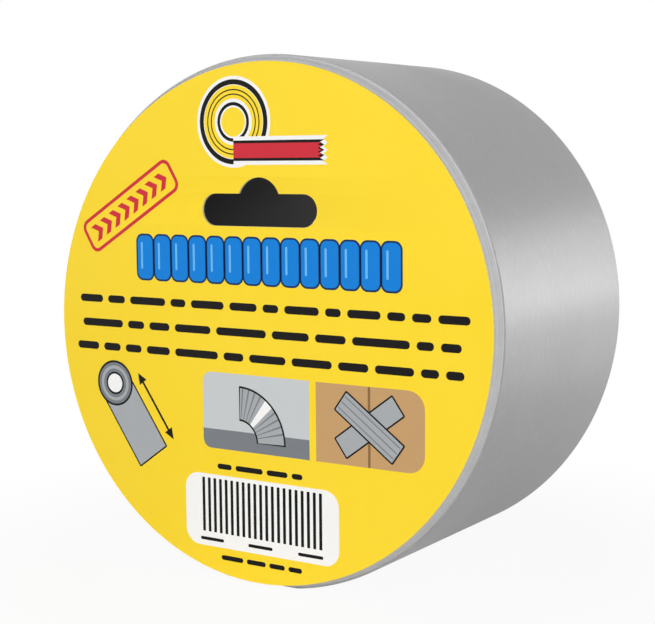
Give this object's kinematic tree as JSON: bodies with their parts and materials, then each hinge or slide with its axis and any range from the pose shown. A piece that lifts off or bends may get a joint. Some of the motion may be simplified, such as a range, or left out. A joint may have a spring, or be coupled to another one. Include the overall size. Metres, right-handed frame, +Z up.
{
  "type": "duct tape roll",
  "caption": "Roll of silver cloth tape on a paperboard core, standing on its rim, with a round yellow card label with a hang slot on one end and a loose tape end that peels up.",
  "frame": {"origin": "under the middle of the roll, on the surface that it stands on", "axes": "+Z up, +Y along the roll's axis from the label's end to the other end, +X to the right as one looks at the label"},
  "size_m": [0.0965, 0.051, 0.0956],
  "materials": {
    "charcoal_paper": "matt dark grey liner paper",
    "grey_board": "matt, cut paperboard",
    "tape_edges": "matt cut edges of many thin layers",
    "silver_tape": "satin polyethylene coating over cloth",
    "label_glue": "tacky, slightly glossy contact glue",
    "label_card": "satin printed card"
  },
  "bodies": {
    "roll": {"core_inner_ply": "charcoal_paper", "core_tube": "grey_board", "tape_winding": "tape_edges", "outer_turn": "silver_tape"},
    "free_end": {"tape_free_end": "silver_tape"},
    "label": {"label_glue": "label_glue", "label_card": "label_card"}
  },
  "joints": [
    {"name": "free_end_peel", "type": "hinge", "parent": "roll", "child": "free_end", "pos_m": [-0.04345, 0, 0.06787], "axis": [0, 1, 0], "range_deg": [0, 120]},
    {"name": "label_lift", "type": "slide", "parent": "roll", "child": "label", "axis": [0, -1, 0], "range_m": [0, 0.03]}
  ]
}
